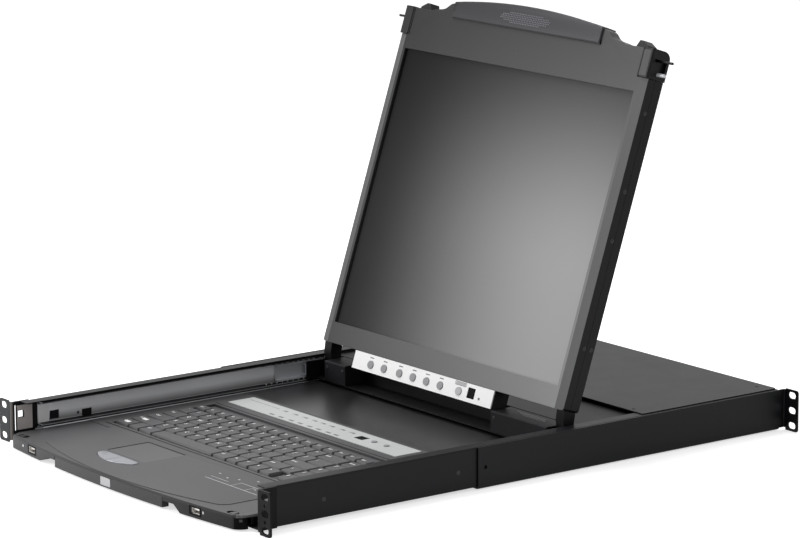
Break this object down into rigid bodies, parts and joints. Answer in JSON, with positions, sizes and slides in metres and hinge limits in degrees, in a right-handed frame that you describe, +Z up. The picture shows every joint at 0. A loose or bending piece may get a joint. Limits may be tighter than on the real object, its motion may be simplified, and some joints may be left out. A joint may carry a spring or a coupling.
{
  "type": "rackmount LCD console drawer",
  "caption": "Rack console in a one-unit housing: a folding display on a sliding carriage above a keyboard and touchpad drawer, with slotted front and rear ears.",
  "frame": {"origin": "centre of the front ears' rack hole pattern, on the plane of the ears' back faces, which bear on the rack's front posts", "axes": "+X to the user's right, +Y into the rack towards the rear panel, +Z up"},
  "size_m": [0.4826, 0.6835, 0.4278],
  "materials": {
    "powder_black": "satin, fine powder coat",
    "carriage_grey": "satin powder coat",
    "zinc": "bright zinc",
    "board_green": "solder mask",
    "supply_case": "plain sheet",
    "connector_shell": "tinned",
    "inlet_black": "moulded",
    "drawer_plastic": "fine texture",
    "bar_plastic": "satin",
    "gloss_black": "glossy",
    "key_plastic": "fine texture",
    "pad_plastic": "smooth",
    "silver_button": "silver paint",
    "strip_pale": "printed film",
    "window_dark": "smoked lens",
    "button_grey": "soft",
    "bezel_plastic": "fine texture",
    "back_paint": "satin",
    "screen": "anti-glare film over the panel",
    "screw_steel": "blackened"
  },
  "bodies": {
    "housing": {"housing_shell": "powder_black", "front_ear_right": "powder_black", "front_ear_left": "powder_black", "rear_cover": "powder_black", "rear_panel": "powder_black", "control_board": "board_green", "power_supply": "supply_case", "port_connectors": "connector_shell", "power_inlet": "inlet_black", "body_screws": "screw_steel", "display_slide_outers": "zinc", "drawer_slide_outers": "zinc"},
    "carriage": {"carriage_frame": "carriage_grey", "carriage_cover": "carriage_grey", "hinge_cover_left": "inlet_black", "hinge_cover_right": "inlet_black", "display_slide_inners": "zinc"},
    "display": {"hinge_arms": "inlet_black", "display_bezel": "bezel_plastic", "display_back": "back_paint", "lcd_panel": "screen", "upper_handle": "bezel_plastic", "corner_caps": "gloss_black", "osd_housing": "inlet_black", "osd_fascia": "strip_pale", "osd_window": "window_dark"},
    "drawer": {"drawer_pan": "powder_black", "drawer_moulding": "drawer_plastic", "drawer_rear_plate": "gloss_black", "drawer_board": "board_green", "pull_bar": "bar_plastic", "usb_sockets": "connector_shell", "keyboard_base": "key_plastic", "keycaps": "key_plastic", "touchpad": "pad_plastic", "port_strip": "strip_pale", "port_window": "window_dark", "drawer_slide_inners": "zinc"},
    "rear_bracket_right": {"rear_bracket_right": "powder_black"},
    "rear_bracket_left": {"rear_bracket_left": "powder_black"},
    "power_rocker": {"power_rocker": "inlet_black"},
    "display_slide_middles": {"display_slide_middles": "zinc"},
    "drawer_slide_middles": {"drawer_slide_middles": "zinc"},
    "display_catch_right": {"display_catch_right": "gloss_black"},
    "display_catch_left": {"display_catch_left": "gloss_black"},
    "display_power_button": {"display_power_button": "button_grey"},
    "touchpad_button_left": {"touchpad_button_left": "silver_button"},
    "touchpad_button_right": {"touchpad_button_right": "silver_button"},
    "port_button_up": {"port_button_up": "button_grey"},
    "port_button_down": {"port_button_down": "button_grey"},
    "drawer_catch_right": {"drawer_catch_right": "gloss_black"},
    "drawer_catch_left": {"drawer_catch_left": "gloss_black"},
    "space_key": {"space_key": "key_plastic"},
    "enter_key": {"enter_key": "key_plastic"},
    "osd_button_1": {"osd_button_1": "button_grey"},
    "osd_button_2": {"osd_button_2": "button_grey"},
    "osd_button_3": {"osd_button_3": "button_grey"},
    "osd_button_4": {"osd_button_4": "button_grey"},
    "osd_button_5": {"osd_button_5": "button_grey"},
    "osd_button_6": {"osd_button_6": "button_grey"}
  },
  "joints": [
    {"name": "display_slide", "type": "slide", "parent": "housing", "child": "carriage", "axis": [0, -1, 0], "range_m": [0, 0.4]},
    {"name": "display_slide_middle_travel", "type": "slide", "parent": "housing", "child": "display_slide_middles", "axis": [0, -1, 0], "range_m": [0, 0.2]},
    {"name": "drawer_slide", "type": "slide", "parent": "housing", "child": "drawer", "axis": [0, -1, 0], "range_m": [0, 0.4]},
    {"name": "drawer_slide_middle_travel", "type": "slide", "parent": "housing", "child": "drawer_slide_middles", "axis": [0, -1, 0], "range_m": [0, 0.2]},
    {"name": "display_tilt", "type": "hinge", "parent": "carriage", "child": "display", "pos_m": [0, 0.386, 0.014], "axis": [1, 0, 0], "range_deg": [-11.5, 108.5]},
    {"name": "rear_bracket_right_adjust", "type": "slide", "parent": "housing", "child": "rear_bracket_right", "axis": [0, 1, 0], "range_m": [-0.06, 0.12]},
    {"name": "rear_bracket_left_adjust", "type": "slide", "parent": "housing", "child": "rear_bracket_left", "axis": [0, 1, 0], "range_m": [-0.06, 0.12]},
    {"name": "power_rocker_tilt", "type": "hinge", "parent": "housing", "child": "power_rocker", "pos_m": [-0.13, 0.65, 0], "axis": [-1, 0, 0], "range_deg": [0, 16]},
    {"name": "osd_button_1_press", "type": "slide", "parent": "display", "child": "osd_button_1", "axis": [0, 0.9483, -0.3173], "range_m": [0, 0.0008], "stiffness_N_per_m": 600, "springref_m": -0.0005},
    {"name": "osd_button_2_press", "type": "slide", "parent": "display", "child": "osd_button_2", "axis": [0, 0.9483, -0.3173], "range_m": [0, 0.0008], "stiffness_N_per_m": 600, "springref_m": -0.0005},
    {"name": "osd_button_3_press", "type": "slide", "parent": "display", "child": "osd_button_3", "axis": [0, 0.9483, -0.3173], "range_m": [0, 0.0008], "stiffness_N_per_m": 600, "springref_m": -0.0005},
    {"name": "osd_button_4_press", "type": "slide", "parent": "display", "child": "osd_button_4", "axis": [0, 0.9483, -0.3173], "range_m": [0, 0.0008], "stiffness_N_per_m": 600, "springref_m": -0.0005},
    {"name": "osd_button_5_press", "type": "slide", "parent": "display", "child": "osd_button_5", "axis": [0, 0.9483, -0.3173], "range_m": [0, 0.0008], "stiffness_N_per_m": 600, "springref_m": -0.0005},
    {"name": "osd_button_6_press", "type": "slide", "parent": "display", "child": "osd_button_6", "axis": [0, 0.9483, -0.3173], "range_m": [0, 0.0008], "stiffness_N_per_m": 600, "springref_m": -0.0005},
    {"name": "display_power_button_press", "type": "slide", "parent": "display", "child": "display_power_button", "axis": [0, 0.9483, -0.3173], "range_m": [0, 0.0008], "stiffness_N_per_m": 600, "springref_m": -0.0005},
    {"name": "display_catch_right_pull", "type": "slide", "parent": "display", "child": "display_catch_right", "axis": [-1, 0, 0], "range_m": [0, 0.007], "stiffness_N_per_m": 250, "springref_m": -0.004},
    {"name": "display_catch_left_pull", "type": "slide", "parent": "display", "child": "display_catch_left", "axis": [1, 0, 0], "range_m": [0, 0.007], "stiffness_N_per_m": 250, "springref_m": -0.004},
    {"name": "touchpad_button_left_press", "type": "slide", "parent": "drawer", "child": "touchpad_button_left", "axis": [0, 0, -1], "range_m": [0, 0.0006], "stiffness_N_per_m": 400, "springref_m": -0.001},
    {"name": "touchpad_button_right_press", "type": "slide", "parent": "drawer", "child": "touchpad_button_right", "axis": [0, 0, -1], "range_m": [0, 0.0006], "stiffness_N_per_m": 400, "springref_m": -0.001},
    {"name": "port_button_up_press", "type": "slide", "parent": "drawer", "child": "port_button_up", "axis": [0, 0, -1], "range_m": [0, 0.0006], "stiffness_N_per_m": 400, "springref_m": -0.001},
    {"name": "port_button_down_press", "type": "slide", "parent": "drawer", "child": "port_button_down", "axis": [0, 0, -1], "range_m": [0, 0.0006], "stiffness_N_per_m": 400, "springref_m": -0.001},
    {"name": "space_key_press", "type": "slide", "parent": "drawer", "child": "space_key", "axis": [0, 0, -1], "range_m": [0, 0.0015], "stiffness_N_per_m": 400, "springref_m": -0.001},
    {"name": "enter_key_press", "type": "slide", "parent": "drawer", "child": "enter_key", "axis": [0, 0, -1], "range_m": [0, 0.0015], "stiffness_N_per_m": 400, "springref_m": -0.001},
    {"name": "drawer_catch_right_pull", "type": "slide", "parent": "drawer", "child": "drawer_catch_right", "axis": [-1, 0, 0], "range_m": [0, 0.004], "stiffness_N_per_m": 250, "springref_m": -0.004},
    {"name": "drawer_catch_left_pull", "type": "slide", "parent": "drawer", "child": "drawer_catch_left", "axis": [1, 0, 0], "range_m": [0, 0.004], "stiffness_N_per_m": 250, "springref_m": -0.004}
  ],
  "couplings": [
    {"joint": "display_slide_middle_travel", "follows": "display_slide", "ratio": 0.5},
    {"joint": "drawer_slide_middle_travel", "follows": "drawer_slide", "ratio": 0.5}
  ]
}
